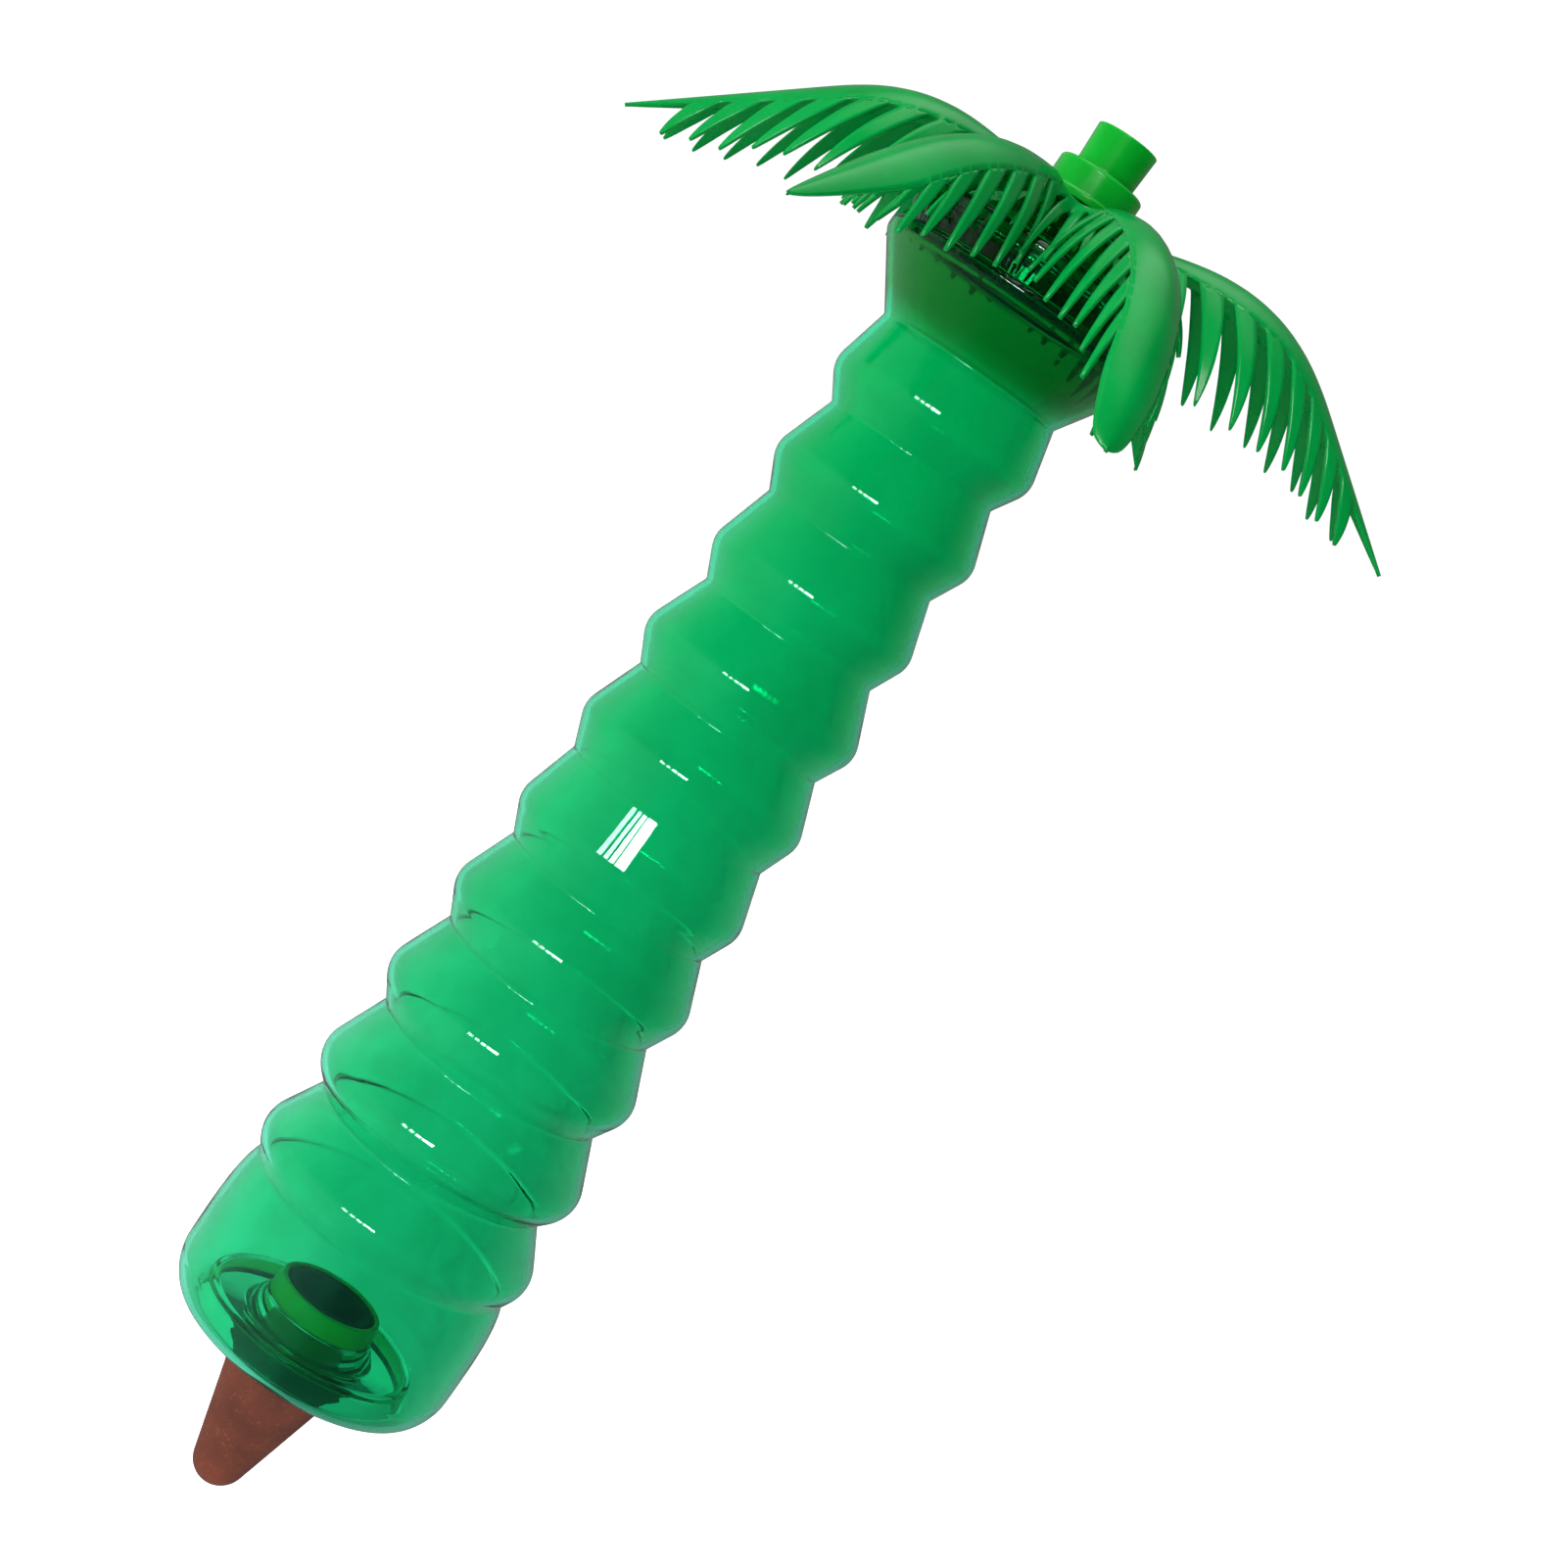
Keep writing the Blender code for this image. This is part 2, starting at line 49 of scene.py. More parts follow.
def fillet(corners, closed=False, step=9.0):
    """Rounds (r, z, radius) corners; returns (r, z) points."""
    points = []
    count = len(corners)
    for i, (r, z, radius) in enumerate(corners):
        ends = not closed and i in (0, count - 1)
        if ends or radius <= 0.0:
            points.append((r, z))
            continue
        here = Vector((r, z))
        back = Vector(corners[i - 1][:2]) - here
        ahead = Vector(corners[(i + 1) % count][:2]) - here
        turn = pi - back.angle(ahead)
        if turn < 1e-3:
            points.append((r, z))
            continue
        reach = min(radius * tan(turn / 2), 0.48 * back.length, 0.48 * ahead.length)
        real = reach / tan(turn / 2)
        centre = here + (back.normalized() + ahead.normalized()).normalized() * (
            real / cos(turn / 2)
        )
        one = here + back.normalized() * reach - centre
        two = here + ahead.normalized() * reach - centre
        steps = max(2, ceil(turn / radians(step)))
        for k in range(steps + 1):
            part = k / steps
            mixed = one * sin((1 - part) * turn) + two * sin(part * turn)
            points.append(tuple(centre + mixed / sin(turn)))
    return points


def smooth_line(points, splits):
    """Catmull-Rom line through (r, z) points."""
    out = []
    for i in range(len(points) - 1):
        a = Vector(points[max(i - 1, 0)])
        b, c = Vector(points[i]), Vector(points[i + 1])
        d = Vector(points[min(i + 2, len(points) - 1)])
        for k in range(splits):
            t = k / splits
            out.append(
                tuple(
                    0.5
                    * (
                        2 * b
                        + (c - a) * t
                        + (2 * a - 5 * b + 4 * c - d) * t * t
                        + (3 * b - a - 3 * c + d) * t * t * t
                    )
                )
            )
    out.append(points[-1])
    return out


def supported(points, longest=2.0, margin=0.3):
    """Adds points just inside the ends of long straight spans, to keep them flat."""
    out = [points[0]]
    for one, two in zip(points, points[1:]):
        span = Vector(two) - Vector(one)
        if span.length > longest:
            for share in (margin, span.length / 2, span.length - margin):
                out.append(tuple(Vector(one) + span * (share / span.length)))
        out.append(two)
    return out


def inset(points, depth):
    """The same line moved depth towards the inside of the wall."""
    out = []
    for i, (r, z) in enumerate(points):
        before = Vector(points[max(i - 1, 0)])
        after = Vector(points[min(i + 1, len(points) - 1)])
        along = (after - before).normalized()
        out.append((r + along.y * depth, z - along.x * depth))
    return out


# ---------------------------------------------------------------- meshes


def new_object(name, mesh, body, slot, material, *nodes):
    """Stores a finished mesh as a piece that stands for CAD nodes."""
    made = bpy.data.objects.new(name, mesh)
    bpy.context.scene.collection.objects.link(made)
    mesh.materials.append(material)
    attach(made, body)
    if nodes:
        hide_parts(*nodes)
    return made


def lathe(name, outline, steps=128, closed=True, shift=None, sharp=35.0):
    """Turns an outline round the Z axis. shift(angle, r, z) gives a new r."""
    verts, faces, rings = [], [], []
    for r, z in outline:
        if r < 1e-6:
            rings.append([len(verts)] * steps)
            verts.append((0.0, 0.0, z * MM))
            continue
        ring = []
        for k in range(steps):
            angle = 2.0 * pi * k / steps
            real = shift(angle, r, z) if shift else r
            ring.append(len(verts))
            verts.append((real * cos(angle) * MM, real * sin(angle) * MM, z * MM))
        rings.append(ring)
    pairs = list(zip(rings, rings[1:]))
    if closed:
        pairs.append((rings[-1], rings[0]))
    for one, two in pairs:
        for k in range(steps):
            n = (k + 1) % steps
            face = []
            for v in (one[k], two[k], two[n], one[n]):
                if v not in face:
                    face.append(v)
            if len(face) > 2:
                faces.append(face)
    mesh = bpy.data.meshes.new(name)
    mesh.from_pydata(verts, [], faces)
    bm = bmesh.new()
    bm.from_mesh(mesh)
    bmesh.ops.recalc_face_normals(bm, faces=bm.faces)
    bm.to_mesh(mesh)
    bm.free()
    mesh.shade_smooth()
    mesh.set_sharp_from_angle(angle=radians(sharp))
    return mesh


def helix_bump(start_z, pitch, turns, height):
    """Height of a thread ridge over its carrier, by angle and z."""

    def bump(angle, z):
        best = 0.0
        for lap in range(int(turns) + 1):
            walked = angle / (2.0 * pi) + lap
            if walked > turns:
                break
            off = abs(z - start_z - pitch * walked)
            ease = min(1.0, walked / 0.04, (turns - walked) / 0.04)
            best = max(best, min(1.0, max(0.0, (0.75 - off) / 0.4)) * ease)
        return best * height

    return bump


# ---------------------------------------------------------------- materials


class Nodes:
    """Short hand for building a material's node tree."""

    def __init__(self, name):
        self.material = bpy.data.materials.new(name)
        self.material.use_nodes = True
        self.tree = self.material.node_tree
        self.tree.nodes.clear()
        self.out = self.tree.nodes.new("ShaderNodeOutputMaterial")

    def add(self, kind, links=None, **values):
        node = self.tree.nodes.new(kind)
        for key, value in values.items():
            setattr(node, key, value)
        for socket, source in (links or {}).items():
            self.set(node, socket, source)
        return node

    def set(self, node, socket, source):
        target = node.inputs[socket]
        if isinstance(source, bpy.types.NodeSocket):
            self.tree.links.new(source, target)
        else:
            target.default_value = source

    def coordinates(self, scale=(1.0, 1.0, 1.0)):
        place = self.add("ShaderNodeTexCoord")
        return self.add(
            "ShaderNodeMapping", {"Vector": place.outputs["Object"], "Scale": scale}
        ).outputs[0]

    def noise(self, vector, scale, detail=2.0, rough=0.5):
        return self.add(
            "ShaderNodeTexNoise",
            {"Vector": vector, "Scale": scale, "Detail": detail, "Roughness": rough},
        ).outputs["Fac"]

    def span(self, value, low, high, to_low=0.0, to_high=1.0):
        return self.add(
            "ShaderNodeMapRange",
            {
                "Value": value,
                "From Min": low,
                "From Max": high,
                "To Min": to_low,
                "To Max": to_high,
            },
        ).outputs[0]

    def mix(self, factor, one, two):
        node = self.add("ShaderNodeMix", data_type="RGBA")
        self.set(node, 0, factor)
        self.set(node, 6, one)
        self.set(node, 7, two)
        return node.outputs[2]

    def math(self, operation, one, two):
        node = self.add("ShaderNodeMath", operation=operation)
        self.set(node, 0, one)
        self.set(node, 1, two)
        return node.outputs[0]

    def bump(self, height, distance, strength=1.0, normal=None):
        links = {"Height": height, "Distance": distance, "Strength": strength}
        if normal is not None:
            links["Normal"] = normal
        return self.add("ShaderNodeBump", links).outputs[0]

    def principled(self, **values):
        names = {key.replace("_", " "): value for key, value in values.items()}
        return self.add("ShaderNodeBsdfPrincipled", names)

    def blend(self, share, one, two):
        return self.add("ShaderNodeMixShader", {0: share, 1: one.outputs[0], 2: two.outputs[0]})

    def finish(self, shader):
        self.tree.links.new(shader.outputs[0], self.out.inputs["Surface"])
        return self.material


def rgb(red, green, blue):
    """Linear colour from 8-bit sRGB."""
    out = []
    for value in (red, green, blue):
        v = value / 255
        out.append(v / 12.92 if v <= 0.04045 else ((v + 0.055) / 1.055) ** 2.4)
    return (*out, 1.0)


def see_through(name, foot, waist, top, body, cloud, smear):
    """Clear dyed plastic, thicker towards the top, with faint scuffs and haze; above the waist
    the dye is darkened as painted shade.
    """
    n = Nodes(name)
    place = n.coordinates()
    flow = n.coordinates((1.0, 1.0, 0.22))
    wall = n.noise(flow, 22.0, 3.0)
    height = n.add("ShaderNodeSeparateXYZ", {0: place}).outputs[2]
    uneven = n.math("ADD", height, n.span(wall, 0.3, 0.7, -0.03, 0.03))
    colour = n.mix(n.span(uneven, 0.06, 0.30), foot, waist)
    cloudy = n.noise(n.coordinates((1.0, 1.0, 0.6)), 34.0, 4.0, 0.6)
    colour = n.mix(n.span(cloudy, 0.42, 0.66, 0.0, 0.35), colour, (0.0, 0.50, 0.22, 1.0))
    # painted shade: above the waist, over the cup and neck, the colour steps to the darker top
    # colour, which stands for the shade of the lid and fronds behind them
    colour = n.mix(n.span(height, 0.328, 0.334), colour, top)
    streak = n.noise(n.coordinates((1.0, 1.0, 0.03)), 260.0, 2.0)
    scuff = n.span(streak, 0.66, 0.78)
    rough = n.math("ADD", n.span(wall, 0.3, 0.7, 0.0, 0.008), n.math("MULTIPLY", scuff, 0.12))
    swell = n.noise(place, 55.0, 2.0)
    normal = n.bump(swell, 0.00016 * smear, 0.5)
    normal = n.bump(n.noise(flow, 160.0, 2.0), 0.00002 * smear, 0.5, normal)
    shader = n.principled(
        Base_Color=colour,
        Roughness=rough,
        IOR=1.46,
        Transmission_Weight=1.0,
        Normal=normal,
    )
    haze = n.principled(
        Base_Color=body,
        Roughness=0.35,
        IOR=1.46,
        Normal=normal,
    )
    weight = n.span(n.noise(place, 30.0, 2.0), 0.3, 0.7, cloud * 0.7, cloud * 1.3)
    return n.finish(n.blend(weight, shader, haze))


def frond_plastic():
    """Thin moulded polythene: glossy, glowing a little where light passes."""
    n = Nodes("frond_plastic")
    place = n.coordinates()
    broad = n.noise(place, 38.0, 3.0)
    fine = n.noise(place, 420.0, 3.0, 0.6)
    colour = n.mix(n.span(broad, 0.3, 0.7), rgb(0, 126, 52), rgb(0, 146, 64))
    colour = n.mix(n.span(fine, 0.55, 0.8, 0.0, 0.2), colour, rgb(10, 165, 92))
    normal = n.bump(broad, 0.0006, 0.5)
    normal = n.bump(fine, 0.00003, 0.5, normal)
    skin = n.principled(
        Base_Color=colour,
        Roughness=n.span(broad, 0.3, 0.7, 0.13, 0.22),
        IOR=1.45,
        Specular_IOR_Level=0.4,
        Normal=normal,
    )
    glow = n.add("ShaderNodeBsdfTranslucent", {"Color": rgb(0, 190, 70), "Normal": normal})
    return n.finish(n.blend(0.28, skin, glow))


def cap_plastic():
    """Yellower, denser green of the filler cap, with faint turning marks."""
    n = Nodes("cap_plastic")
    place = n.coordinates()
    broad = n.noise(place, 60.0, 2.0)
    rings = n.noise(n.coordinates((0.15, 0.15, 1.0)), 900.0, 1.0)
    colour = n.mix(n.span(broad, 0.3, 0.7), rgb(0, 124, 24), rgb(0, 142, 36))
    normal = n.bump(broad, 0.0004, 0.4)
    normal = n.bump(rings, 0.00002, 0.4, normal)
    skin = n.principled(
        Base_Color=colour,
        Roughness=n.span(broad, 0.3, 0.7, 0.14, 0.22),
        IOR=1.45,
        Specular_IOR_Level=0.35,
        Subsurface_Weight=0.25,
        Subsurface_Radius=(0.1, 1.0, 0.2),
        Subsurface_Scale=0.002,
        Normal=normal,
    )
    return n.finish(skin)


def terracotta():
    """Unglazed clay: fine grain, pits, darker damp patches, pale rubbed spots."""
    n = Nodes("terracotta_clay")
    place = n.coordinates()
    broad = n.noise(place, 60.0, 4.0)
    grain = n.noise(place, 900.0, 3.0, 0.7)
    pits = n.add(
        "ShaderNodeTexVoronoi", {"Vector": place, "Scale": 700.0}
    ).outputs["Distance"]
    turned = n.noise(n.coordinates((0.2, 0.2, 1.0)), 420.0, 2.0)
    colour = n.mix(n.span(broad, 0.3, 0.7), rgb(82, 34, 18), rgb(110, 49, 28))
    colour = n.mix(n.span(grain, 0.58, 0.75, 0.0, 0.5), colour, rgb(134, 78, 56))
    colour = n.mix(n.span(pits, 0.12, 0.0, 0.0, 0.6), colour, rgb(62, 28, 20))
    height = n.math("ADD", n.math("MULTIPLY", grain, 0.6), n.math("MULTIPLY", turned, 0.5))
    normal = n.bump(height, 0.00018, 0.8)
    skin = n.principled(
        Base_Color=colour,
        Roughness=n.span(broad, 0.3, 0.7, 0.72, 0.9),
        IOR=1.45,
        Normal=normal,
    )
    return n.finish(skin)


def rubber(name, dark, light, gloss):
    """Soft moulded seal material with a slight bloom."""
    n = Nodes(name)
    place = n.coordinates()
    broad = n.noise(place, 160.0, 3.0)
    colour = n.mix(n.span(broad, 0.3, 0.7), dark, light)
    normal = n.bump(n.noise(place, 1100.0, 2.0), 0.00002, 0.5)
    skin = n.principled(
        Base_Color=colour,
        Roughness=n.span(broad, 0.3, 0.7, gloss, gloss + 0.12),
        IOR=1.5,
        Normal=normal,
    )
    return n.finish(skin)


BOTTLE = see_through(
    "bottle_plastic",
    (0.10, 0.75, 0.46, 1.0),
    (0.0, 0.66, 0.31, 1.0),
    # darker colour for the cup and neck above the waist: painted shade
    (0.0, 0.38, 0.09, 1.0),
    (0.02, 0.85, 0.60, 1.0),
    0.004,
    1.0,
)
LID = see_through(
    "lid_plastic",
    (0.0, 0.42, 0.10, 1.0),
    (0.0, 0.42, 0.10, 1.0),
    (0.0, 0.42, 0.10, 1.0),
    (0.0, 0.30, 0.06, 1.0),
    0.012,
    0.5,
)
FROND = frond_plastic()
CAP = cap_plastic()
CLAY = terracotta()
SEAL = rubber("seal_rubber", rgb(118, 188, 56), rgb(140, 205, 78), 0.3)
GASKET = rubber("gasket_foam", rgb(196, 204, 190), rgb(222, 228, 216), 0.5)


# ---------------------------------------------------------------- bottle

WALL = 1.5
NECK_RADIUS, NECK_BORE, NECK_TOP = 30.8, 29.5, 356.3
# spacing of the rings that carry a thread ridge
THREAD_STEP = 0.2
THREAD_PITCH = 3.0
THREAD_TURNS = 1.1
WAIST_Z = 328.0
FIRST_SEGMENT, SEGMENT_PITCH, LAST_SEGMENT = 23.6, 25.4, 21.9
SEGMENTS = 10
# per groove from the waist down; per segment its widest radius and how far down it is
VALLEYS = (24.1, 22.7, 23.05, 23.5, 25.2, 26.95, 27.3, 28.5, 30.0, 30.7, 35.1)
PEAKS = (27.3, 27.3, 27.35, 29.2, 30.3, 31.1, 32.6, 34.4, 36.3, 37.7)
PEAK_SHARES = (0.60, 0.60, 0.615, 0.625, 0.61, 0.61, 0.61, 0.635, 0.67, 0.70)


def valley(index):
    """(radius, height) of the groove above a segment; the last is the foot's joint."""
    height = WAIST_Z
    if index:
        height -= FIRST_SEGMENT + SEGMENT_PITCH * min(index - 1, SEGMENTS - 2)
    if index == SEGMENTS:
        height -= LAST_SEGMENT
    return VALLEYS[index], height


def bulge(index):
    """Where the two slopes of a segment would meet, unrounded."""
    top, foot = Vector(valley(index)), Vector(valley(index + 1))
    drop = top.y - foot.y
    peak = PEAKS[index]
    peak_z = top.y - PEAK_SHARES[index] * drop
    upper = (peak - 0.7 - top.x) / (top.y - peak_z - 4.0)
    lower = (peak - 0.8 - foot.x) / (peak_z - 3.2 - foot.y)
    down = (foot.x - top.x + lower * drop) / (upper + lower)
    return top.x + upper * down, top.y - down


def trunk_side():
    """Outer line from the neck's top edge to the joint with the foot."""
    corners = [
        (NECK_RADIUS, NECK_TOP, 0.0),
        (NECK_RADIUS, 349.0, 0.5),
        (35.2, 348.7, 2.4),
        (35.2, 345.0, 4.0),
    ]
    for index in range(SEGMENTS):
        corners.append((*valley(index), 0.8))
        corners.append((*bulge(index), 7.5))
    corners.append((*valley(SEGMENTS), 0.0))
    line = supported(fillet(corners, step=6.0))
    rows = [(NECK_RADIUS, 356.1 - THREAD_STEP * k) for k in range(34)]
    return [line[0]] + rows + line[1:]


def foot_side():
    """Outer line of the foot from the joint to its flat rest ring."""
    points = [(35.1, 79.3), (36.4, 75.3), (37.3, 69.8), (37.7, 62.3)]
    for angle in (0, 15, 30, 45, 60, 75, 90):
        a = radians(angle)
        points.append((30.2 + 7.5 * cos(a) ** 1.15, 52.0 - 11.4 * sin(a)))
    return smooth_line(points, 4)


def bottle_outline():
    side = trunk_side() + foot_side()[1:]
    inner = inset(side, WALL)
    inner[0] = (NECK_BORE, NECK_TOP)
    for i, (r, z) in enumerate(inner):
        if z > 348.0 and side[i][0] < NECK_RADIUS + 0.2:
            inner[i] = (NECK_BORE, max(z, 347.9))
    base = fillet(
        [
            (28.3, 40.6, 0.4),
            (27.2, 47.6, 1.2),
            (18.4, 45.25, 0.5),
            (17.3, 45.2, 0.2),
            (17.3, 44.0, 0.3),
            (13.8, 44.0, 0.2),
            (13.8, 51.2, 0.2),
            (14.8, 51.2, 0.3),
            (15.2, 50.6, 0.4),
            (17.8, 46.7, 0.8),
            (28.3, 48.75, 1.2),
            (29.25, 42.2, 0.5),
        ],
        step=12.0,
    )
    return side + base + inner[::-1]


def build_bottle():
    bump = helix_bump(351.2, THREAD_PITCH, THREAD_TURNS, 0.8)

    def shift(angle, r, z):
        if abs(r - NECK_RADIUS) < 1e-6 and 349.3 < z < 356.0:
            return r + bump(angle, z)
        return r

    mesh = lathe("bottle_shell", bottle_outline(), 160, shift=shift, sharp=50.0)
    new_object("bottle_shell", mesh, "bottle", "bottle_green", BOTTLE, "trunk_bottle")


# ---------------------------------------------------------------- small turned pieces

LID_BORE = 32.0


def build_lid():
    bump = helix_bump(352.7, THREAD_PITCH, THREAD_TURNS, 0.9)

    def shift(angle, r, z):
        if abs(r - LID_BORE) < 1e-6 and 349.4 < z < 357.8:
            return r - bump(angle, z)
        return r

    corners = [
        (33.5, 349.2, 0.3),
        (33.5, 358.9, 2.6),
        (30.0, 359.5, 3.0),
        (21.0, 361.9, 9.0),
        (14.5, 365.3, 6.0),
        (11.8, 369.5, 1.0),
        (11.8, 371.5, 0.3),
        (8.5, 371.5, 0.3),
        (8.5, 379.0, 0.4),
        (6.4, 379.0, 0.4),
        (6.4, 370.0, 0.3),
        (10.4, 370.0, 0.3),
        (10.4, 369.0, 1.0),
        (13.4, 364.2, 6.0),
        (20.3, 360.6, 9.0),
        (26.5, 359.0, 0.6),
        (27.0, 358.0, 0.2),
        (LID_BORE, 358.0, 0.2),
    ]
    line = fillet(corners, closed=True)
    rows = [(LID_BORE, 357.7 - THREAD_STEP * k) for k in range(42)]
    mesh = lathe("lid_shell", line + rows + [(LID_BORE, 349.2)], 128, shift=shift)
    new_object("lid_shell", mesh, "lid", "lid_green", LID, "screw_lid")


def build_gasket():
    corners = [(31.7, 356.6, 0.3), (31.7, 357.7, 0.3), (27.3, 357.7, 0.3), (27.3, 356.6, 0.3)]
    mesh = lathe("gasket_ring", fillet(corners, closed=True), 96)
    new_object("gasket_ring", mesh, "lid_liner", "gasket_white", GASKET, "lid_gasket")


def build_cap():
    corners = [
        (0.0, 383.2, 0.0),
        (6.1, 383.2, 0.5),
        (6.55, 392.2, 0.3),
        (8.05, 392.2, 0.35),
        (7.6, 382.2, 0.5),
        (11.1, 382.0, 1.1),
        (11.1, 375.6, 0.3),
        (11.6, 375.0, 0.4),
        (11.6, 373.4, 0.3),
        (8.9, 373.4, 0.3),
        (8.9, 380.4, 0.3),
        (6.0, 380.4, 0.3),
        (6.0, 375.5, 0.3),
        (4.8, 375.5, 0.3),
        (4.8, 380.4, 0.3),
        (0.0, 380.4, 0.0),
    ]
    mesh = lathe("cap_body", fillet(corners), 96, closed=False)
    new_object("cap_body", mesh, "cap", "cap_green", CAP, "filler_cap")


def build_cone():
    ball = 7.1
    tip = [(ball * sin(radians(a)), ball * (1 - cos(radians(a)))) for a in range(0, 76, 5)]
    wall_r, wall_z = tip[-1]
    neck_r = wall_r + 0.262 * (34.2 - wall_z)
    corners = [
        (wall_r, wall_z, 0.0),
        (neck_r, 34.2, 1.0),
        (16.2, 36.0, 1.6),
        (16.7, 38.5, 2.0),
        (16.7, 42.5, 0.5),
        (12.2, 42.5, 0.2),
        (12.2, 56.6, 0.7),
        (9.6, 56.6, 0.7),
        (9.6, 27.0, 3.0),
        (5.2, 10.0, 3.0),
        (0.0, 5.2, 0.0),
    ]
    mesh = lathe("clay_body", tip[:-1] + fillet(corners), 96, closed=False)
    new_object("clay_body", mesh, "cone", "terracotta", CLAY, "clay_cone")


def build_seal():
    corners = [
        (16.5, 42.8, 0.2),
        (16.5, 43.7, 0.2),
        (13.5, 43.7, 0.1),
        (13.5, 51.5, 0.2),
        (14.4, 51.5, 0.3),
        (14.4, 52.6, 1.0),
        (13.7, 56.8, 0.5),
        (12.5, 56.8, 0.2),
        (12.5, 42.8, 0.1),
    ]
    mesh = lathe("seal_ring", fillet(corners, closed=True), 96)
    new_object("seal_ring", mesh, "bottle", "seal_green", SEAL, "base_seal")


# ---------------------------------------------------------------- crown

# azimuth, rise at the root, arc length of the bend, slope of the tip, arc length
FRONDS = (
    (0.0, 18.0, 63.0, 37.0, 99.0),
    (60.0, 6.0, 60.0, 38.0, 96.0),
    (120.0, 8.0, 80.0, 30.0, 96.0),
    (180.0, 8.0, 50.7, 39.0, 96.4),
    (240.6, -4.0, 65.6, 39.3, 96.9),
    (289.6, 0.3, 102.4, 69.8, 98.4),
)
SHEET = 0.95
SHEET_RADIUS = 19.0
RIDGE_Z = (373.1, 373.1, 374.0, 374.8, 375.4)
VALLEY_Z = (373.1, 373.1, 372.3, 370.8, 368.9)
RING_RADII = (8.9, 12.0, 14.3, 16.6, SHEET_RADIUS)
BLADE_SHARES = (-0.30, -0.20, -0.10, 0.0, 0.10, 0.20, 0.30)
CURTAINS = ((0.36, 0.65), (0.69, 0.98))
LEAFLETS = 8
LEAFLET_START = 2.5
LEAFLET_PITCH = 10.06
LEAFLET_SHARE = 0.68
WIDEST_AT = 26.0
ROOFS = (14.0, 28.0, 42.0)
# half width, end of the leaflets, taper power of the tip, how much shorter the leaflets are
WHOLE_CUT = (12.5, 999.0, 0.9, 0.0)
LOBES = {4: (8.5, 64.0, 0.75, 3.0), 5: (8.0, 79.0, 0.38, 1.0)}


def jitter(*keys):
    """Repeatable number from -1 to 1 for slight unevenness."""
    value = sin(sum((k + 1) * (12.9898 + 31.7 * i) for i, k in enumerate(keys))) * 43758.5453
    return 2.0 * (value - int(value // 1)) - 1.0


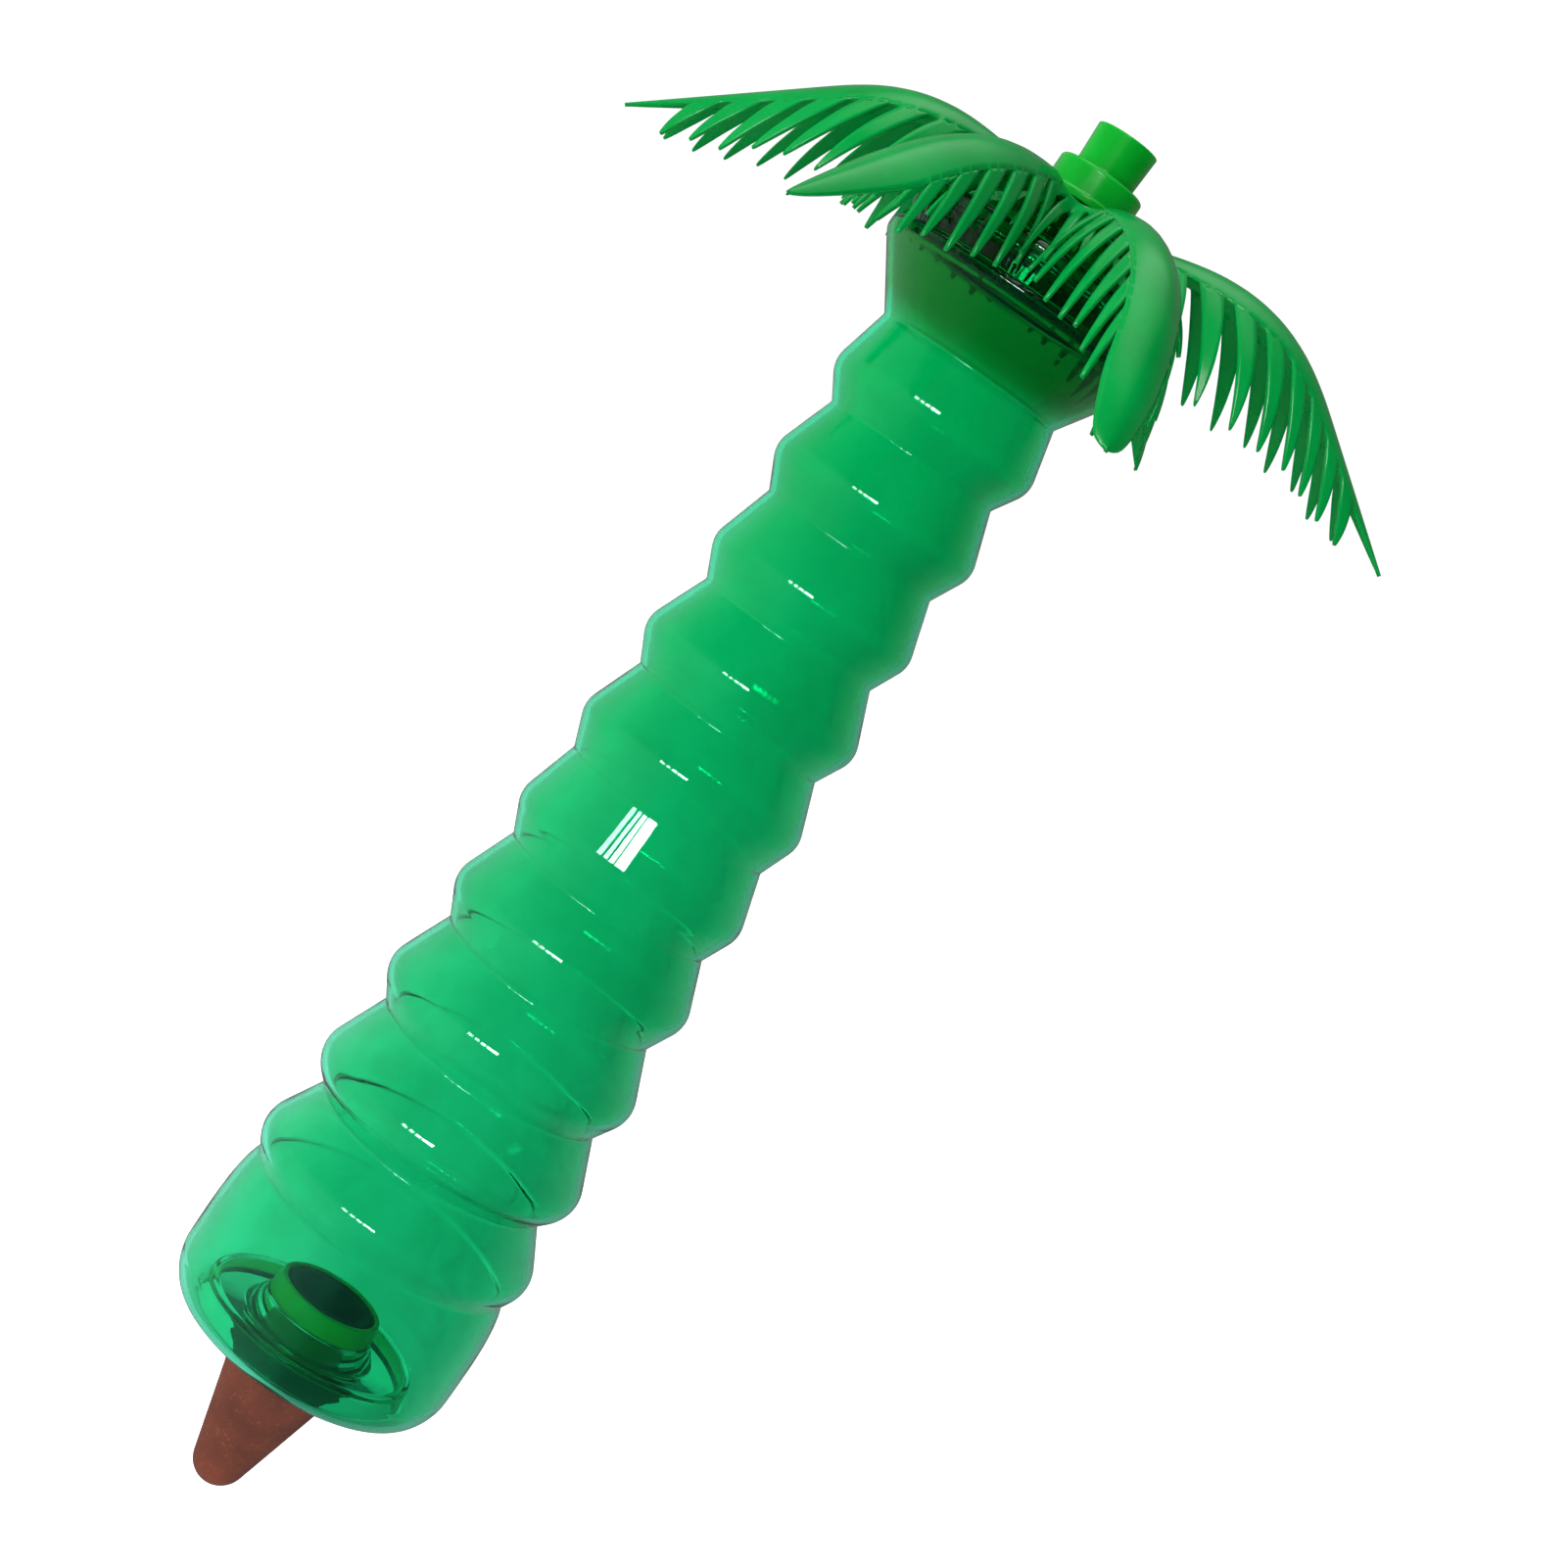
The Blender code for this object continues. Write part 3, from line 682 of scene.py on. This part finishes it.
class Crown:
    """One moulded sheet: hub, waved inner sheet, blades and slit leaflets."""

    def __init__(self):
        self.bm = bmesh.new()

    def point(self, place):
        return self.bm.verts.new(Vector(place) * MM)

    def quads(self, one, two):
        """Skin between two rows of vertices."""
        for k in range(len(one) - 1):
            self.bm.faces.new((one[k], two[k], two[k + 1], one[k + 1]))

    def inner_sheet(self):
        """Sheet from the hub to where the fronds part; returns its rim vertices."""
        shares = list(BLADE_SHARES)
        for low, high in CURTAINS:
            middle = (low + high) / 2
            shares += [low, middle, high, -low, -middle, -high]
        shares.sort()
        columns = []
        for index, (azimuth, *_) in enumerate(FRONDS):
            before = ((azimuth - FRONDS[index - 1][0]) % 360.0) / 2
            after = ((FRONDS[(index + 1) % len(FRONDS)][0] - azimuth) % 360.0) / 2
            for share in shares:
                spread = share * (after if share > 0 else before)
                columns.append((index, share, azimuth + spread))
        self.angles = {(index, share): angle for index, share, angle in columns}
        rings = []
        for radius, ridge, low in zip(RING_RADII, RIDGE_Z, VALLEY_Z):
            row = []
            for index, share, angle in columns:
                a = radians(angle)
                z = ridge - (ridge - low) * abs(share) ** 1.2
                row.append(self.point((radius * cos(a), radius * sin(a), z)))
            rings.append(row)
        for inner, outer in zip(rings, rings[1:]):
            self.quads(inner + inner[:1], outer + outer[:1])
        return {(i, s): v for (i, s, _), v in zip(columns, rings[-1])}

    def leaflet(self, root, heading, turn, pitch, hang, length, rows=10):
        """Curved tapering strip from three root vertices."""
        left, middle, right = (v.co / MM for v in root)
        last = root
        spine = middle.copy()
        side = right - left
        full = side.length / 2
        fold = middle - (left + right) / 2
        for row in range(1, rows + 1):
            s = row / rows
            mid = (row - 0.5) / rows
            down = radians(pitch + (hang - pitch) * mid**0.9)
            yaw = radians(heading + turn * mid)
            ahead = Vector((cos(yaw) * cos(down), sin(yaw) * cos(down), -sin(down)))
            spine = spine + ahead * (length / rows)
            square = min(1.0, 2.2 * s)
            across = (side - ahead * side.dot(ahead) * square).normalized()
            slant = 1.0 - square * (1.0 - ahead.cross(side.normalized()).length)
            half = full * slant * (0.80 + 0.20 * (1.0 - s) ** 4) * (1.0 - s**2.2) + 0.3 * s
            up = across.cross(ahead).normalized()
            if up.dot(fold if fold.length > 1e-6 else Vector((0, 0, 1))) < 0:
                up = -up
            lift = fold.length * (1.0 - s) ** 4
            new = [
                self.point(spine - across * half - up * lift),
                self.point(spine),
                self.point(spine + across * half - up * lift),
            ]
            self.quads(last, new)
            last = new

    def curtains(self, rim):
        """Leaflets that hang from the sheet between neighbouring fronds."""
        for index in range(len(FRONDS)):
            for k, (low, high) in enumerate(CURTAINS):
                middle = (low + high) / 2
                for one, mid, two in ((low, middle, high), (-high, -middle, -low)):
                    uneven = jitter(index, k, one)
                    heading = self.angles[index, mid]
                    self.leaflet(
                        [rim[index, s] for s in (one, mid, two)],
                        heading + 3.0 * uneven,
                        0.0,
                        2.0 + 12.0 * middle,
                        62.0,
                        25.0 + 1.5 * uneven,
                    )

    def ridge_points(self, rise, bend, tip_slope, stations):
        """(radius, height, slope in degrees) of the blade's ridge at each station."""

        def slope_at(walked):
            part = min(walked / bend, 1.0)
            return -rise + (tip_slope + rise) * part * part * (3.0 - 2.0 * part)

        found = {}
        radius, height, walked = SHEET_RADIUS, RIDGE_Z[-1], 0.0
        for station in stations:
            while walked < station - 1e-9:
                go = min(0.5, station - walked)
                slope = radians(slope_at(walked + go / 2))
                radius += go * cos(slope)
                height -= go * sin(slope)
                walked += go
            found[station] = (radius, height, slope_at(station))
        return found

    def half_width(self, station, reach, widest, cut, taper):
        """Half the blade's uncut width; lobed blades stay wide past the last leaflet."""
        start = SHEET_RADIUS * sin(radians(9.0)) * 1.15
        if station < WIDEST_AT:
            part = station / WIDEST_AT
            return start + (widest - start) * part * (2.0 - part)
        full = WIDEST_AT if cut > reach else cut
        part = max(0.0, (station - full) / (reach - full))
        return widest * (1.0 - part) ** taper + 0.35

    def blade(self, index, rim):
        """One frond: its uncut blade and the leaflets along both edges."""
        azimuth, rise, bend, tip_slope, reach = FRONDS[index]
        roots, stations = [], []
        widest, cut, taper, short = LOBES.get(index, WHOLE_CUT)
        for leaf in range(LEAFLETS):
            low = LEAFLET_START + leaf * LEAFLET_PITCH
            if low + LEAFLET_PITCH < cut:
                roots.append((low, low + LEAFLET_SHARE * LEAFLET_PITCH))
        for low, high in roots:
            stations += [low, (3 * low + high) / 4, (low + high) / 2, (low + 3 * high) / 4, high]
        steps = ceil((reach - 12.5 - stations[-1]) / 5.0)
        stations += [
            stations[-1] + (reach - 12.5 - stations[-1]) * (k + 1) / steps for k in range(steps)
        ]
        stations += [reach - 9.0, reach - 5.5, reach - 2.5, reach]
        ridge = self.ridge_points(rise, bend, tip_slope, stations)
        a = radians(azimuth)
        out = Vector((cos(a), sin(a), 0.0))
        lateral = Vector((-sin(a), cos(a), 0.0))
        last = [rim[index, s] for s in BLADE_SHARES]
        rows = {}
        for station in stations:
            radius, height, slope = ridge[station]
            centre = out * radius + Vector((0.0, 0.0, height))
            tilt = radians(slope)
            under = Vector((0.0, 0.0, -1.0)) * cos(tilt) - out * sin(tilt)
            under = (under + Vector((0.0, 0.0, -1.0))).normalized()
            half = self.half_width(station, reach, widest, cut, taper)
            side, drop, offsets = 0.0, 0.0, [(0.0, 0.0)]
            for roof in ROOFS:
                side += half / len(ROOFS) * cos(radians(roof))
                drop += half / len(ROOFS) * sin(radians(roof))
                offsets.append((side, drop))
            row = [self.point(centre - lateral * s + under * d) for s, d in offsets[:0:-1]]
            row.append(self.point(centre))
            row += [self.point(centre + lateral * s + under * d) for s, d in offsets[1:]]
            self.quads(last, row)
            rows[station] = row
            last = row
        for leaf, (low, high) in enumerate(roots):
            part = leaf / (LEAFLETS - 1)
            middle = 4.0 * part * (1.0 - part)
            length = 31.0 - 18.0 * part**1.6 - 3.0 * (1.0 - part) * (1.0 - middle)
            spread = 52.0 - 26.0 * part
            slope = 42.0 + 0.4 * max(ridge[low][2], 0.0)
            for side, sign in ((0, -1.0), (-1, 1.0)):
                uneven = jitter(index, leaf, sign)
                root = [rows[s][side] for s in (low, (low + high) / 2, high)]
                if sign > 0:
                    root.reverse()
                self.leaflet(
                    root,
                    azimuth + sign * spread + 2.5 * uneven,
                    -sign * 16.0,
                    slope,
                    73.0 + 4.0 * uneven,
                    (length - short) * (1.0 + 0.05 * uneven),
                )

    def build(self):
        rim = self.inner_sheet()
        self.curtains(rim)
        for index in range(len(FRONDS)):
            self.blade(index, rim)
        bmesh.ops.recalc_face_normals(self.bm, faces=self.bm.faces)
        if sum(f.normal.z for f in self.bm.faces) < 0:
            bmesh.ops.reverse_faces(self.bm, faces=self.bm.faces)
        mesh = bpy.data.meshes.new("crown_sheet")
        self.bm.to_mesh(mesh)
        self.bm.free()
        mesh.shade_smooth()
        made = new_object("crown_sheet", mesh, "lid", "frond_green", FROND, "frond_crown")
        soft = made.modifiers.new("soft", "SUBSURF")
        soft.levels = 1
        soft.render_levels = 1
        shell = made.modifiers.new("sheet", "SOLIDIFY")
        shell.thickness = SHEET * MM
        shell.offset = -1.0
        shell.use_even_offset = False
        shell.use_rim = True


# ---------------------------------------------------------------- stage


CAMERA_PLACE = (0.0, -0.633340, 0.293027)
CAMERA_TURN = (1.4383, -0.6027, 0.0449)
CAMERA_LENS = 61.45
# below the furthest point that the cone is pulled down to
FLOOR_Z = -0.0206
AIM_Z = 0.19
WINDOW_DISTANCE = 5.0
WINDOW_TALL = 7.0
# from azimuth, to azimuth, elevation of the foot, brightness
WINDOWS = (
    (1.0, 11.0, 18.5, 1.0),
    (13.0, 17.5, 18.3, 0.75),
    (20.0, 23.5, 18.0, 0.6),
    (26.5, 31.0, 17.5, 0.5),
)


def build_camera():
    data = bpy.data.cameras.new("camera")
    data.sensor_width = 36.0
    data.lens = CAMERA_LENS
    data.clip_start = 0.01
    camera = bpy.data.objects.new("camera", data)
    camera.location = CAMERA_PLACE
    camera.rotation_euler = Euler(CAMERA_TURN)
    bpy.context.scene.collection.objects.link(camera)
    bpy.context.scene.camera = camera


def build_floor():
    bm = bmesh.new()
    bmesh.ops.create_grid(bm, x_segments=8, y_segments=8, size=9.0)
    mesh = bpy.data.meshes.new("floor")
    bm.to_mesh(mesh)
    bm.free()
    floor = bpy.data.objects.new("floor", mesh)
    floor.location.z = FLOOR_Z
    floor.visible_glossy = False
    floor.visible_transmission = False
    bpy.context.scene.collection.objects.link(floor)
    n = Nodes("floor_paper")
    skin = n.principled(
        Base_Color=(0.9, 0.9, 0.9, 1.0),
        Roughness=0.9,
        Specular_IOR_Level=0.1,
        Emission_Color=(1.0, 1.0, 1.0, 1.0),
        Emission_Strength=0.8,
    )
    mesh.materials.append(n.finish(skin))


def area_light(name, azimuth, elevation, distance, size, power):
    """Rectangular light; azimuth 0 is over the camera, positive to its left."""
    data = bpy.data.lights.new(name, "AREA")
    data.shape = "RECTANGLE"
    data.size, data.size_y = size
    data.energy = power
    made = bpy.data.objects.new(name, data)
    a, e = radians(azimuth), radians(elevation)
    toward = Vector((-sin(a) * cos(e), -cos(a) * cos(e), sin(e)))
    made.location = toward * distance + Vector((0.0, 0.0, AIM_Z))
    made.rotation_euler = toward.to_track_quat("Z", "Y").to_euler()
    bpy.context.scene.collection.objects.link(made)
    return made


def build_lights():
    """Panes of a window, and a softbox that is kept out of the reflections."""
    for k, (low, high, foot, glow) in enumerate(WINDOWS):
        wide = radians(high - low) * WINDOW_DISTANCE
        area_light(
            f"window_{k}",
            (low + high) / 2,
            foot + WINDOW_TALL / 2,
            WINDOW_DISTANCE,
            (wide, radians(WINDOW_TALL) * WINDOW_DISTANCE),
            70.0 * wide * glow,
        )
    softbox = area_light("softbox", 62.0, 38.0, 1.8, (1.4, 1.0), 38.0)
    softbox.visible_glossy = False
    softbox.visible_transmission = False


def build_world():
    """White backdrop behind, dim room in front, paler to the left and overhead."""
    world = bpy.data.worlds.new("studio")
    world.use_nodes = True
    n = Nodes.__new__(Nodes)
    n.tree = world.node_tree
    n.tree.nodes.clear()
    out = n.add("ShaderNodeOutputWorld")
    place = n.add("ShaderNodeTexCoord").outputs["Generated"]
    x, y, z = n.add("ShaderNodeSeparateXYZ", {0: place}).outputs
    ceiling = n.math("MULTIPLY", n.span(z, 0.25, 0.6, 1.0, 0.12), n.span(z, -1.0, -0.5, 0.6, 1.0))
    through = n.math("MULTIPLY", n.span(x, -0.08, 0.08, 1.25, 0.58), ceiling)
    left = n.math("MULTIPLY", n.span(x, -0.1, -0.9, 0.0, 0.3), n.span(z, 0.6, 0.3))
    above = n.math("MULTIPLY", n.span(z, 0.72, 0.9, 0.0, 2.2), n.span(x, 0.5, -0.3))
    mirrored = n.math("ADD", n.math("ADD", left, above), n.span(y, 0.0, 0.6, 0.02, 0.22))
    path = n.add("ShaderNodeLightPath")
    seen = n.add(
        "ShaderNodeMix", {0: path.outputs["Is Transmission Ray"], 2: mirrored, 3: through}
    ).outputs[0]
    spread = n.math("MAXIMUM", path.outputs["Is Diffuse Ray"], path.outputs["Is Camera Ray"])
    even = n.span(path.outputs["Is Camera Ray"], 0.0, 1.0, 0.32, 1.05)
    lit = n.add("ShaderNodeMix", {0: spread, 2: seen, 3: even}).outputs[0]
    sky = n.add("ShaderNodeBackground", {"Color": (1.0, 1.0, 1.0, 1.0), "Strength": lit})
    n.tree.links.new(sky.outputs[0], out.inputs["Surface"])
    bpy.context.scene.world = world


def main():
    build_camera()
    build_bottle()
    build_lid()
    build_gasket()
    build_cap()
    build_cone()
    build_seal()
    Crown().build()
    build_floor()
    build_lights()
    build_world()
    scene = bpy.context.scene
    scene.view_settings.view_transform = "Standard"


main()
